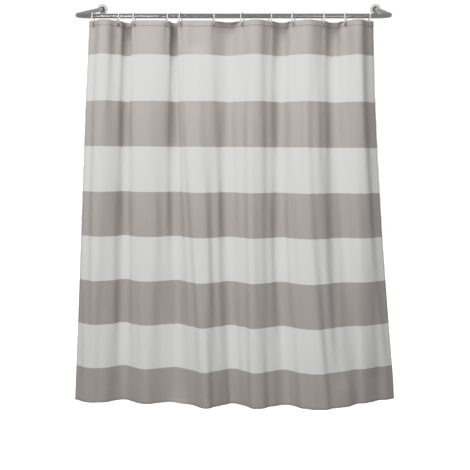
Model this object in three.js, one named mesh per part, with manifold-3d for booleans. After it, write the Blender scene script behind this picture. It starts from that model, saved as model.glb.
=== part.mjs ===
// A striped cloth shower curtain on twelve rings, with the U-shaped rod that carries it.
// Millimetres. X runs along the front of the rod, +Y points into the wall, +Z is up.
// The origin is on the wall, half way between the centres of the two flanges.
import * as THREE from "three";
import { mergeVertices } from "three/addons/utils/BufferGeometryUtils.js";
import Module from "manifold-3d";

const wasm = await Module();
wasm.setup();

// ---------- driving dimensions ----------
const clearance = 0.3; // gap between pieces that touch
const overrun = 5; // how far a cutting tool passes the face it opens

// rod
const rodDiameter = 22.2;
const rodWall = 1.2;
const rodHalfWidth = 742; // centre line of each arm from the middle
const rodProjection = 700; // wall to the centre line of the front run
const rodRise = 145.5; // flange centres above the front run
const bendRadius = 100; // centre line
const bendSteps = 9;
const splicePlace = 430; // where the front tube meets an arm tube, from the middle
const spliceLength = 120;
const tubeSides = 16;

// wall hardware
const plateThickness = 4;
const plateEdge = 1.9; // plate left outside the screw heads
const spigotLength = 24;
const spigotWall = 3;
const collarWall = 3.4;
const collarLength = 30;
const collarChamfer = 1;
const coverDepth = 9;
const coverSheet = 1.2;
const coverRim = 3; // width of the rolled front edge of the cover
const screwCount = 3;
const screwGap = 2; // between the collar and the screw heads
const screwShank = 1.9;
const screwHead = 3.6;
const screwHeadHeight = 2.2;
const screwHeadFlat = 0.7; // flat of a screw's head over its radius
const screwLength = 30;
const setScrewRadius = 2;
const setScrewPlace = 21; // from the wall, along the arm

// rings and eyelets
const ringInner = 23.5;
const ringWire = 2.25; // radius of the wire
const ringGap = 5; // opening of the split, in degrees of the ring
const ringSplit = 45; // place of the split, in degrees above the middle of the back
const ringSteps = 22;
const ringSides = 6;
const eyeletHole = 4;
const eyeletPlay = 0.5; // between the wire and the top of the eyelet's hole
const eyeletWall = 1;
const eyeletLip = 1.5; // flange beyond the barrel
const eyeletSheet = 0.6;
const eyeletSides = 12;

// cloth
const clothWidth = 1829;
const clothHeight = 1829;
const clothThickness = 0.6;
const holeMargin = 26; // first and last hole from the side hems
const holeDrop = 17; // holes below the top edge
const headerDepth = 40; // stiff doubled top that keeps its folds straight
const flatPastLip = 1.5; // cloth that an eyelet keeps flat beyond its flange
const leftRun = 92; // from the left arm to the first hole
const rightRun = 102; // from the last hole to the right arm
const holeLean = 0.6; // heading of the cloth at every hole, in radians
const hemWidth = 1545; // straight across, from the line of the first hole to that of the last
const hemFirst = -744; // where the line of the first hole meets the hem
const spread = 1.2; // how late the cloth widens on its way down, as a power
const hemLeftBack = 25; // how far the ends of the hem hang behind the rod
const hemRightBack = 146;
const hemLeftBow = [-0.6, 0.15]; // where the left end's bow fades out, across the cloth from -1 to 1
const hemRightBow = [0.62, 0.92]; // where the right end's bow grows
const stepsPerSpan = 6;
const rowsBelowHeader = 6;

// How far apart neighbouring holes hang, over the cloth between them; each row raises its own mix of
// the two lists to one power, so that it fills its width and none passes 1.
const topSpacing = [0.736, 0.466, 0.948, 0.392, 0.976, 0.825, 0.809, 0.663, 0.844, 0.651, 0.678];
const hemSpacing = [0.85, 0.73, 0.81, 0.88, 0.65, 0.63, 0.71, 0.73, 0.88, 0.95, 0.92];
// How far each fold leans to one side, in radians at its middle, and the share of the drop by which
// it leans so far: the header itself doesn't lean.
const foldLean = [0.2, 0.07, -0.12, -0.4, -0.07, 0.18, 0, -0.12, 0.13, 0.12, -0.34];
const fullLeanAt = 0.35;
// How each ring is turned on the rod, in degrees about the vertical.
const ringTurn = [2, -16, 2, -14, 9, -10, 15, -15, 15, -10, 15, -2];

// ---------- solver ----------
const powerRange = [0.02, 8];
const leastCurl = -0.85; // over the lean at a hole
const mostCurl = 2.4; // tightest fold that the solver tries, in radians
const halvings = 48;
const headingSamples = 64; // in a span
const stepsBetween = 8; // between two columns of the cloth

// ---------- derived ----------
const rodRadius = rodDiameter / 2;
const tubeBore = rodRadius - rodWall;
const tilt = Math.atan2(rodRise, rodProjection);
const armReach = Math.hypot(rodRise, rodProjection); // front run to wall, in the plane of the rod
const straightHalf = rodHalfWidth - bendRadius;
const collarRadius = rodRadius + clearance + collarWall;
const screwCircle = collarRadius + screwGap + screwHead;
const plateRadius = screwCircle + screwHead + plateEdge;
const ringRadius = ringInner + ringWire;
const eyeletBarrel = eyeletHole + eyeletWall;
const eyeletFlange = eyeletBarrel + eyeletLip;
const flatAtHole = eyeletFlange + flatPastLip;
const ringCentreZ = -rodRise + rodRadius + clearance - ringInner;
const eyeletZ = ringCentreZ - ringInner + eyeletPlay - eyeletHole * Math.cos(Math.PI / eyeletSides);
const clothTopZ = eyeletZ + holeDrop;
const holeCount = ringTurn.length;
const pitch = (clothWidth - 2 * holeMargin) / (holeCount - 1);
const firstHoleX = -rodHalfWidth + leftRun;
const hungWidth = 2 * rodHalfWidth - leftRun - rightRun;

// ---------- finishes ----------
const nickel = new THREE.MeshStandardMaterial({ color: 0x8d8884, metalness: 1, roughness: 0.32 });
const paleMetal = new THREE.MeshStandardMaterial({ color: 0xd2d2cc, metalness: 1, roughness: 0.3 });
const zinc = new THREE.MeshStandardMaterial({ color: 0x9fa1a4, metalness: 1, roughness: 0.45 });
const whitePlastic = new THREE.MeshStandardMaterial({ color: 0xf1eff0, metalness: 0, roughness: 0.35 });
const cloth = new THREE.MeshStandardMaterial({ color: 0xb4adaa, metalness: 0, roughness: 0.9 });

// ---------- helpers ----------
const part = new THREE.Group();

// The rod lies in a plane that rises from the front run to the wall; this group holds that plane.
const rodPlane = new THREE.Group();
rodPlane.position.set(0, -rodProjection, -rodRise);
rodPlane.rotation.x = tilt;
part.add(rodPlane);

function addMesh(parent, name, geometry, material) {
  const mesh = new THREE.Mesh(geometry, material);
  mesh.name = name;
  parent.add(mesh);
  return mesh;
}

function solidFrom(geometry) {
  const bare = geometry.clone();
  bare.deleteAttribute("normal");
  bare.deleteAttribute("uv");
  const merged = mergeVertices(bare, 1e-3);
  return new wasm.Manifold(
    new wasm.Mesh({
      numProp: 3,
      vertProperties: merged.attributes.position.array,
      triVerts: new Uint32Array(merged.index.array),
    }),
  );
}

function geometryFrom(solid) {
  const mesh = solid.getMesh();
  const geometry = new THREE.BufferGeometry();
  geometry.setAttribute("position", new THREE.BufferAttribute(new Float32Array(mesh.vertProperties), 3));
  geometry.setIndex(new THREE.BufferAttribute(new Uint32Array(mesh.triVerts), 1));
  geometry.computeVertexNormals();
  return geometry;
}

// A regular polygon with its corners on a circle, as a closed path.
function polygon(PathClass, radius, sides) {
  const path = new PathClass();
  for (let i = 0; i < sides; i++) {
    const angle = (2 * Math.PI * i) / sides;
    path[i ? "lineTo" : "moveTo"](radius * Math.cos(angle), radius * Math.sin(angle));
  }
  path.closePath();
  return path;
}

function tubeSection(outer, inner) {
  const shape = polygon(THREE.Shape, outer, tubeSides);
  shape.holes.push(polygon(THREE.Path, inner, tubeSides));
  return shape;
}

// A solid of revolution about Y whose profile of [radius, height] points closes on itself.
function turned(profile, sides) {
  const points = [...profile, profile[0]].map(([r, h]) => new THREE.Vector2(r, h));
  return new THREE.LatheGeometry(points, sides);
}

// A round bar along Y from one height to another.
function bar(radius, from, to, sides = tubeSides) {
  return new THREE.CylinderGeometry(radius, radius, to - from, sides).translate(0, (from + to) / 2, 0);
}

// ---------- rod ----------
// Centre line of half the rod in its own plane: straight, a quarter bend, straight to the wall.
// The stations are one per straight and bendSteps in the bend, so u counts stations, not length.
class ArmLine extends THREE.Curve {
  constructor(side, start, end) {
    super();
    this.side = side;
    this.start = start;
    this.end = end;
    this.stations = bendSteps + 2;
  }
  place(u) {
    const station = u * this.stations;
    if (station <= 1) return { x: this.start + (straightHalf - this.start) * station, y: 0, turn: 0 };
    if (station >= bendSteps + 1) {
      const share = station - bendSteps - 1;
      return { x: rodHalfWidth, y: bendRadius + (this.end - bendRadius) * share, turn: Math.PI / 2 };
    }
    const turn = ((station - 1) / bendSteps) * (Math.PI / 2);
    return {
      x: straightHalf + bendRadius * Math.sin(turn),
      y: bendRadius * (1 - Math.cos(turn)),
      turn,
    };
  }
  getPointAt(u) {
    const { x, y } = this.place(u);
    return new THREE.Vector3(this.side * x, y, 0);
  }
  getTangentAt(u) {
    const { turn } = this.place(u);
    return new THREE.Vector3(this.side * Math.cos(turn), Math.sin(turn), 0);
  }
}

// From the front run to the end of an arm, along it: the tube stops square, clear of the plate.
const armEnd = armReach - (plateThickness + clearance) / Math.cos(tilt) - rodRadius * Math.tan(tilt);

function rodTubes() {
  const length = 2 * splicePlace - clearance;
  const straight = new THREE.ExtrudeGeometry(tubeSection(rodRadius, tubeBore), {
    depth: length,
    bevelEnabled: false,
  });
  straight.translate(0, 0, -length / 2).rotateY(Math.PI / 2);
  addMesh(rodPlane, "rod_front_tube", straight, nickel);

  for (const [name, side] of [["left", -1], ["right", 1]]) {
    const line = new ArmLine(side, splicePlace + clearance / 2, armEnd);
    const tube = new THREE.ExtrudeGeometry(tubeSection(rodRadius, tubeBore), {
      steps: line.stations,
      extrudePath: line,
      bevelEnabled: false,
    });
    addMesh(rodPlane, `rod_${name}_arm_tube`, tube, nickel);

    const sleeveOuter = tubeBore - clearance;
    const sleeve = new THREE.ExtrudeGeometry(tubeSection(sleeveOuter, sleeveOuter - 2 * rodWall), {
      depth: spliceLength,
      bevelEnabled: false,
    });
    sleeve.translate(0, 0, -spliceLength / 2).rotateY(Math.PI / 2).translate(side * splicePlace, 0, 0);
    addMesh(rodPlane, `${name}_splice_sleeve`, sleeve, zinc);
  }
}

// ---------- wall hardware ----------
// Turns a bar along Y, measured from the wall, so that it lies along the rising arm.
function alongArm(geometry) {
  return geometry.rotateX(tilt);
}

// Everything in front of the plane Y = -depth, for trimming a tilted piece flush.
function inFrontOf(depth, size) {
  return solidFrom(new THREE.BoxGeometry(size, size, size).translate(0, -depth - size / 2, 0));
}

function wallHardware(name, side) {
  const seat = new THREE.Group();
  seat.position.x = side * rodHalfWidth;
  part.add(seat);
  const trimSize = 4 * collarLength; // of a block that holds the whole of a trimmed piece

  // plate with a spigot that stands inside the end of the tube
  const spigotRadius = tubeBore - clearance;
  let plate = solidFrom(bar(plateRadius, -plateThickness, 0, 2 * tubeSides));
  const spigot = solidFrom(alongArm(bar(spigotRadius, -spigotLength, 0)));
  plate = plate.add(spigot.intersect(inFrontOf(plateThickness / 2, trimSize)));
  const plateBore = bar(spigotRadius - spigotWall, -spigotLength - overrun, overrun);
  plate = plate.subtract(solidFrom(alongArm(plateBore)));
  for (let i = 0; i < screwCount; i++) {
    const hole = bar(screwShank + clearance, -plateThickness - overrun, overrun, eyeletSides);
    plate = plate.subtract(solidFrom(hole.translate(...screwPlace(i))));
  }
  addMesh(seat, `${name}_wall_plate`, geometryFrom(plate), zinc);

  // collar around the tube, cut flush with the plate, with a threaded hole underneath
  const collarBore = rodRadius + clearance;
  let collar = solidFrom(
    alongArm(
      turned(
        [
          [collarBore, -collarLength],
          [collarRadius - collarChamfer, -collarLength],
          [collarRadius, -collarLength + collarChamfer],
          [collarRadius, overrun],
          [collarBore, overrun],
        ],
        tubeSides,
      ),
    ),
  );
  collar = collar.intersect(inFrontOf(plateThickness + clearance, trimSize));
  const screwBore = bar(setScrewRadius + clearance, 0, collarRadius + overrun, eyeletSides);
  screwBore.rotateX(-Math.PI / 2).translate(0, -setScrewPlace, 0);
  collar = collar.subtract(solidFrom(alongArm(screwBore)));
  addMesh(seat, `${name}_collar`, geometryFrom(collar), nickel);

  // set screw with a hexagon socket, from just off the tube to just inside the collar's surface
  const tip = rodRadius + clearance;
  const tail = collarRadius - clearance;
  let setScrew = solidFrom(bar(setScrewRadius, tip, tail, eyeletSides));
  const socket = bar(setScrewRadius / 2, (tip + tail) / 2, tail + overrun, 6);
  setScrew = setScrew.subtract(solidFrom(socket));
  const setScrewShape = geometryFrom(setScrew).rotateX(-Math.PI / 2).translate(0, -setScrewPlace, 0);
  addMesh(seat, `${name}_set_screw`, alongArm(setScrewShape), zinc);

  // dished cover over the plate and its screws, open where the collar passes
  const coverInner = plateRadius + clearance;
  const coverOuter = coverInner + coverSheet;
  let cover = solidFrom(
    turned(
      [
        [coverInner, -clearance],
        [coverInner, -coverDepth + coverSheet + coverRim],
        [coverInner - coverRim, -coverDepth + coverSheet],
        [rodRadius, -coverDepth + coverSheet],
        [rodRadius, -coverDepth],
        [coverOuter - coverRim, -coverDepth],
        [coverOuter, -coverDepth + coverRim],
        [coverOuter, -clearance],
      ],
      2 * tubeSides,
    ),
  );
  cover = cover.subtract(
    solidFrom(alongArm(bar(collarRadius + clearance, -collarLength - overrun, overrun, 2 * tubeSides))),
  );
  addMesh(seat, `${name}_flange_cover`, geometryFrom(cover), paleMetal);

  for (let i = 0; i < screwCount; i++) {
    const under = -plateThickness - clearance;
    const screw = new THREE.LatheGeometry(
      [
        [0, under - screwHeadHeight],
        [screwHead * screwHeadFlat, under - screwHeadHeight],
        [screwHead, under - screwHeadHeight / 2],
        [screwHead, under],
        [screwShank, under],
        [screwShank, under + screwLength - screwShank],
        [0, under + screwLength],
      ].map(([r, h]) => new THREE.Vector2(r, h)),
      eyeletSides,
    );
    addMesh(seat, `${name}_wall_screw_${i + 1}`, screw, zinc).position.set(...screwPlace(i));
  }
}

function screwPlace(i) {
  const angle = Math.PI / 2 + (2 * Math.PI * i) / screwCount;
  return [screwCircle * Math.cos(angle), 0, screwCircle * Math.sin(angle)];
}

// ---------- how the cloth hangs ----------
function bisect(low, high, tooLow) {
  for (let i = 0; i < halvings; i++) {
    const middle = (low + high) / 2;
    if (tooLow(middle)) low = middle;
    else high = middle;
  }
  return (low + high) / 2;
}

function smooth(t) {
  const c = Math.min(1, Math.max(0, t));
  return c * c * (3 - 2 * c);
}

// Heading of the cloth inside a span, u from 0 to 1 between its two flat ends.
function heading(u, curl, lean) {
  return holeLean * Math.cos(Math.PI * u) + curl * Math.sin(2 * Math.PI * u) + lean * Math.sin(Math.PI * u);
}

// Spacing of a span over its cloth: the mean cosine of the heading.
function spacingOf(curl, lean) {
  let sum = 0;
  for (let i = 0; i < headingSamples; i++) sum += Math.cos(heading((i + 0.5) / headingSamples, curl, lean));
  const flat = (2 * flatAtHole) / pitch;
  return flat * Math.cos(holeLean) + ((1 - flat) * sum) / headingSamples;
}

function spacingsAt(drop) {
  const shares = topSpacing.map((top, span) => top + (hemSpacing[span] - top) * drop);
  const width = hungWidth + (hemWidth - hungWidth) * drop ** spread;
  const filled = (power) => shares.reduce((sum, share) => sum + share ** power, 0) * pitch;
  const power = bisect(...powerRange, (guess) => filled(guess) > width);
  return shares.map((share) => share ** power);
}

// One row of the cloth, drop from 0 under the header to 1 at the hem: points in plan at the given
// distances across the cloth. Near and far folds take turns, and each span keeps its true length.
function clothRow(drop, across) {
  const leans = foldLean.map((lean) => lean * smooth(drop / fullLeanAt));
  const curls = spacingsAt(drop).map((spacing, span) =>
    bisect(leastCurl * holeLean, mostCurl, (curl) => spacingOf(curl, leans[span]) > spacing),
  );
  const headingAt = (s) => {
    const along = (s - holeMargin) / pitch;
    const span = Math.min(holeCount - 2, Math.max(0, Math.floor(along)));
    const inside = (along - span) * pitch - flatAtHole;
    const u = Math.min(1, Math.max(0, inside / (pitch - 2 * flatAtHole)));
    return (span % 2 ? 1 : -1) * heading(u, curls[span], leans[span]);
  };
  const plan = [];
  let x = 0;
  let y = 0;
  let last = across[0];
  for (const s of across) {
    const step = (s - last) / stepsBetween;
    for (let i = 0; i < stepsBetween; i++) {
      const angle = headingAt(last + (i + 0.5) * step);
      x += step * Math.cos(angle);
      y += step * Math.sin(angle);
    }
    last = s;
    plan.push({ x, y, angle: headingAt(s) });
  }
  const first = plan[holeColumn(0)];
  const startX = firstHoleX + (hemFirst - firstHoleX) * drop;
  return plan.map((point, i) => ({
    x: point.x + startX - first.x,
    y: point.y - first.y + drop * bow((2 * across[i]) / clothWidth - 1),
    angle: point.angle,
  }));
}

// How far the hem stands behind the rod, across the cloth from -1 to 1.
function bow(place) {
  const left = 1 - smooth((place - hemLeftBow[0]) / (hemLeftBow[1] - hemLeftBow[0]));
  const right = smooth((place - hemRightBow[0]) / (hemRightBow[1] - hemRightBow[0]));
  return hemLeftBack * left + hemRightBack * right;
}

// Column of the cloth that a hole's centre lies on: the side hem's edge comes first, and each hole
// has a column on each side of it, at the ends of its flat cloth.
function holeColumn(hole) {
  return 2 + hole * (stepsPerSpan + 2);
}

function clothStations() {
  const across = [0];
  for (let hole = 0; hole < holeCount; hole++) {
    const s = holeMargin + hole * pitch;
    across.push(s - flatAtHole, s, s + flatAtHole);
    if (hole < holeCount - 1) {
      for (let i = 1; i < stepsPerSpan; i++) {
        across.push(s + flatAtHole + ((pitch - 2 * flatAtHole) * i) / stepsPerSpan);
      }
    }
  }
  across.push(clothWidth);
  return across;
}

const across = clothStations();
const headerPlan = clothRow(0, across);
const holes = ringTurn.map((_, hole) => headerPlan[holeColumn(hole)]);

// ---------- curtain ----------
// A closed sheet: front and back surfaces on one grid, half the thickness to each side, and four rims.
function clothSheet() {
  const drops = [0, headerDepth];
  for (let i = 1; i <= rowsBelowHeader; i++) {
    drops.push(headerDepth + ((clothHeight - headerDepth) * i) / rowsBelowHeader);
  }
  const columns = across.length;
  const positions = [];
  for (const face of [-1, 1]) {
    for (const down of drops) {
      const plan = clothRow(Math.max(0, down - headerDepth) / (clothHeight - headerDepth), across);
      for (const { x, y, angle } of plan) {
        const offset = (face * clothThickness) / 2;
        const back = y - rodProjection + offset * Math.cos(angle);
        positions.push(x - offset * Math.sin(angle), back, clothTopZ - down);
      }
    }
  }
  const sheet = columns * drops.length;
  const at = (face, row, column) => face * sheet + row * columns + column;
  const index = [];
  const quad = (a, b, c, d) => index.push(a, b, c, a, c, d);
  for (let row = 0; row + 1 < drops.length; row++) {
    for (let column = 0; column + 1 < columns; column++) {
      quad(at(0, row, column), at(0, row + 1, column), at(0, row + 1, column + 1), at(0, row, column + 1));
      quad(at(1, row, column), at(1, row, column + 1), at(1, row + 1, column + 1), at(1, row + 1, column));
    }
  }
  const hem = drops.length - 1;
  for (let column = 0; column + 1 < columns; column++) {
    quad(at(0, 0, column), at(0, 0, column + 1), at(1, 0, column + 1), at(1, 0, column));
    quad(at(0, hem, column), at(1, hem, column), at(1, hem, column + 1), at(0, hem, column + 1));
  }
  const end = columns - 1;
  for (let row = 0; row < hem; row++) {
    quad(at(0, row, 0), at(1, row, 0), at(1, row + 1, 0), at(0, row + 1, 0));
    quad(at(0, row, end), at(0, row + 1, end), at(1, row + 1, end), at(1, row, end));
  }
  const geometry = new THREE.BufferGeometry();
  geometry.setAttribute("position", new THREE.Float32BufferAttribute(positions, 3));
  geometry.setIndex(index);
  return geometry;
}

function curtain() {
  let sheet = solidFrom(clothSheet());
  const holeRadius = (eyeletBarrel + clearance) / Math.cos(Math.PI / eyeletSides);
  for (const hole of holes) {
    const cutter = bar(holeRadius, -overrun, overrun, eyeletSides).rotateZ(hole.angle);
    sheet = sheet.subtract(solidFrom(cutter.translate(hole.x, hole.y - rodProjection, eyeletZ)));
  }
  addMesh(part, "curtain_cloth", geometryFrom(sheet), cloth);
}

// ---------- rings and eyelets ----------
// A circle of wire in the Y-Z plane, split at the back above the middle.
class RingLine extends THREE.Curve {
  angle(u) {
    const split = THREE.MathUtils.degToRad(ringSplit);
    const half = THREE.MathUtils.degToRad(ringGap) / 2;
    return split + half + u * (2 * Math.PI - 2 * half);
  }
  getPointAt(u) {
    const angle = this.angle(u);
    return new THREE.Vector3(0, ringRadius * Math.cos(angle), ringRadius * Math.sin(angle));
  }
  getTangentAt(u) {
    const angle = this.angle(u);
    return new THREE.Vector3(0, -Math.sin(angle), Math.cos(angle));
  }
}

function ringAndEyelet(index) {
  const number = String(index + 1).padStart(2, "0");
  const { x, y, angle } = holes[index];
  const wire = new THREE.ExtrudeGeometry(polygon(THREE.Shape, ringWire, ringSides), {
    steps: ringSteps,
    extrudePath: new RingLine(),
    bevelEnabled: false,
  });
  const ring = addMesh(part, `ring_${number}`, wire, whitePlastic);
  ring.position.set(x, -rodProjection, ringCentreZ);
  ring.rotation.z = -THREE.MathUtils.degToRad(ringTurn[index]);

  const inside = clothThickness / 2 + clearance;
  const outside = inside + eyeletSheet;
  const spool = turned(
    [
      [eyeletHole, outside],
      [eyeletFlange, outside],
      [eyeletFlange, inside],
      [eyeletBarrel, inside],
      [eyeletBarrel, -inside],
      [eyeletFlange, -inside],
      [eyeletFlange, -outside],
      [eyeletHole, -outside],
    ].reverse(),
    eyeletSides,
  );
  const eyelet = addMesh(part, `eyelet_${number}`, spool, nickel);
  eyelet.position.set(x, y - rodProjection, eyeletZ);
  eyelet.rotation.z = angle;
}

// ---------- assembly ----------
rodTubes();
wallHardware("left", -1);
wallHardware("right", 1);
curtain();
for (let index = 0; index < holeCount; index++) ringAndEyelet(index);

export default part;
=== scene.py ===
import math
import bmesh
import bpy
import numpy as np
from mathutils import Matrix, Vector


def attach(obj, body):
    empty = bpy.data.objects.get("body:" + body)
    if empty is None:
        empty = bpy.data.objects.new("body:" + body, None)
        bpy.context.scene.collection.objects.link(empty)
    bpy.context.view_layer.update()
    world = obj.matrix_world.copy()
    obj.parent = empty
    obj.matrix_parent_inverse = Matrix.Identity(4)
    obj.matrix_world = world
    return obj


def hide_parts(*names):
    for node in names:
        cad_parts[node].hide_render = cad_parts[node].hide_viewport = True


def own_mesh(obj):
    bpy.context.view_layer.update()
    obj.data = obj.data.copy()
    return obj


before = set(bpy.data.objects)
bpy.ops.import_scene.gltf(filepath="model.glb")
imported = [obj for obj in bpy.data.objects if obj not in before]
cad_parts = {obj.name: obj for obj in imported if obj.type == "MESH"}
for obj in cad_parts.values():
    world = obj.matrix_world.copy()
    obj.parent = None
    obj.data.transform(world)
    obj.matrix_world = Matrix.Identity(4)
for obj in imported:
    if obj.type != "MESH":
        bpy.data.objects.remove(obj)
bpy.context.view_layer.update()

scene = bpy.context.scene
scene.view_settings.view_transform = "Standard"
print("frame loaded,", len(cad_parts), "nodes")

view = {
    "position": (0.203, -4.8, -0.781),
    "turnLeft": 2.52,  # degrees
    "lookDown": 5.39,
    "roll": 0.395,
    "sensor": 36.0,
    "lens": 66.33,
}
studio = {
    "key": {"place": (-1.15, -3.2, 2.3), "aim": (-0.2, -0.7, -0.2),
            "wide": 2.2, "tall": 2.2, "power": 144.0},
    "fill": {"place": (2.2, -4.2, 1.4), "aim": (0.3, -0.7, -0.8),
             "wide": 1.4, "tall": 1.4, "power": 28.0},
    "back": {"place": (0.6, 3.2, 1.6), "aim": (0.0, -0.7, -0.9),
             "wide": 2.2, "tall": 2.2, "power": 110.0},
    "leftStrip": {"place": (-1.25, -4.9, -1.2), "aim": (-0.5, -0.7, -0.2),
                  "wide": 0.4, "tall": 0.8, "power": 11.0},
    "rightStrip": {"place": (0.70, -4.9, -1.5), "aim": (0.4, -0.7, -0.2),
                   "wide": 0.4, "tall": 0.8, "power": 4.0},
    "skyLow": 0.08, "skyHigh": 0.5,  # what the surroundings give the cloth, from below and from above
    "mirrored": 0.42,  # the same for reflections
    "background": 1.15,
    # tone curve that holds the whites back
    "response": [(0.0, 0.0), (0.22, 0.205), (0.44, 0.465), (0.58, 0.605),
                 (0.74, 0.69), (0.90, 0.745), (1.0, 1.0)],
    "floorHeight": -2.12,
    "floorReach": 12.0,
    "horizon": (-0.6, 0.8),  # heights between which the surroundings brighten
}


def makeCamera():
    turn, down, roll = (math.radians(view[name]) for name in ("turnLeft", "lookDown", "roll"))
    ahead = Vector((-math.sin(turn) * math.cos(down), math.cos(turn) * math.cos(down), -math.sin(down)))
    right = Vector((math.cos(turn), math.sin(turn), 0.0))
    up = right.cross(ahead)
    leanRight = math.cos(roll) * right + math.sin(roll) * up
    leanUp = math.cos(roll) * up - math.sin(roll) * right
    data = bpy.data.cameras.new("camera")
    data.lens = view["lens"]
    data.sensor_width = view["sensor"]
    camera = bpy.data.objects.new("camera", data)
    scene.collection.objects.link(camera)
    turned = Matrix((leanRight, leanUp, -ahead)).transposed().to_4x4()
    camera.matrix_world = Matrix.Translation(view["position"]) @ turned
    scene.camera = camera


def makeLight(name):
    lamp = studio[name]
    data = bpy.data.lights.new(name, "AREA")
    data.shape = "RECTANGLE"
    data.size, data.size_y, data.energy = lamp["wide"], lamp["tall"], lamp["power"]
    light = bpy.data.objects.new(name, data)
    light.visible_glossy = name.endswith("Strip")
    light.location = lamp["place"]
    light.rotation_euler = (Vector(lamp["aim"]) - Vector(lamp["place"])).to_track_quat("-Z", "Y").to_euler()
    scene.collection.objects.link(light)


class Wire:
    # one output socket; arithmetic on it adds Math nodes

    def __init__(self, graph, socket):
        self.graph = graph
        self.socket = socket

    def math(self, operation, *values):
        node = self.graph.make("ShaderNodeMath", {"operation": operation}, dict(enumerate((self, *values))))
        return node.out(0)

    def __add__(self, other):
        return self.math("ADD", other)

    __radd__ = __add__

    def __mul__(self, other):
        return self.math("MULTIPLY", other)

    __rmul__ = __mul__

    def __sub__(self, other):
        return self.math("SUBTRACT", other)

    def __rsub__(self, other):
        return (self * -1.0).math("ADD", other)

    def __truediv__(self, other):
        return self.math("DIVIDE", other)

    def sin(self):
        return self.math("SINE")

    def fraction(self):
        return self.math("FRACT")

    def floor(self):
        return self.math("FLOOR")

    def size(self):
        return self.math("ABSOLUTE")

    def least(self, other):
        return self.math("MINIMUM", other)

    def most(self, other):
        return self.math("MAXIMUM", other)

    def above(self, other):
        return self.math("GREATER_THAN", other)

    def smooth(self, low, high):
        # 0 below low, 1 above high, an S between
        settings = {"interpolation_type": "SMOOTHSTEP"}
        node = self.graph.make("ShaderNodeMapRange", settings, {0: self, 1: low, 2: high, 3: 0.0, 4: 1.0})
        return node.out(0)


# a node; out gives one of its output sockets
class Made:
    def __init__(self, graph, node):
        self.graph = graph
        self.node = node

    def out(self, key):
        return Wire(self.graph, self.node.outputs[key])


class Graph:
    # a material or a world whose nodes all come from make

    def __init__(self, name, tree=None):
        if tree is None:
            self.material = bpy.data.materials.new(name)
            self.material.use_nodes = True
            tree = self.material.node_tree
        self.tree = tree
        self.tree.nodes.clear()

    def make(self, kind, settings=None, sockets=None):
        node = self.tree.nodes.new(kind)
        for name, value in (settings or {}).items():
            setattr(node, name, value)
        for key, value in (sockets or {}).items():
            socket = node.inputs[key]
            if isinstance(value, Wire):
                self.tree.links.new(value.socket, socket)
            else:
                socket.default_value = value
        return Made(self, node)

    def objectPoint(self):
        return self.make("ShaderNodeTexCoord").out("Object")

    def parts(self, vector):
        node = self.make("ShaderNodeSeparateXYZ", None, {0: vector})
        return [node.out(axis) for axis in range(3)]

    def join(self, x, y, z):
        return self.make("ShaderNodeCombineXYZ", None, {0: x, 1: y, 2: z}).out(0)

    def noise(self, vector, scale, detail=2.0, roughness=0.5):
        values = {"Vector": vector, "Scale": scale, "Detail": detail, "Roughness": roughness}
        return self.make("ShaderNodeTexNoise", {"noise_dimensions": "3D"}, values).out(0)

    def mixColour(self, factor, first, second, blend="MIX"):
        settings = {"data_type": "RGBA", "blend_type": blend}
        return self.make("ShaderNodeMix", settings, {0: factor, 6: first, 7: second}).out(2)

    def bump(self, height, distance, strength=1.0):
        values = {"Height": height, "Distance": distance, "Strength": strength}
        return self.make("ShaderNodeBump", None, values).out(0)

    def surface(self, **sockets):
        values = {name.replace("_", " "): value for name, value in sockets.items()}
        shader = self.make("ShaderNodeBsdfPrincipled", None, values)
        self.make("ShaderNodeOutputMaterial", None, {0: shader.out(0)})
        return self.material


dye = {
    "taupe": (0.460, 0.426, 0.406, 1.0),
    "taupeWorn": (0.490, 0.456, 0.436, 1.0),
    "white": (0.78, 0.78, 0.765, 1.0),
    "whiteWorn": (0.81, 0.81, 0.79, 1.0),
    "seamTop": 0.025, "seamBottom": 1.821, "seamSide": 0.007, "width": 1.829,
    "top": 0.157,  # depth of the first stripe
    "stripe": 0.214,
    "thread": 0.00052,  # from one thread of the weave to the next
    # painted shade along a seam is full within the first distance and gone at the second
    "seamShadeTop": (0.0010, 0.0042),
    "seamShadeBottom": (0.0004, 0.0026),
    "seamShadeSide": (0.0004, 0.0030),
    "seamShade": 0.26,
}


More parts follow.
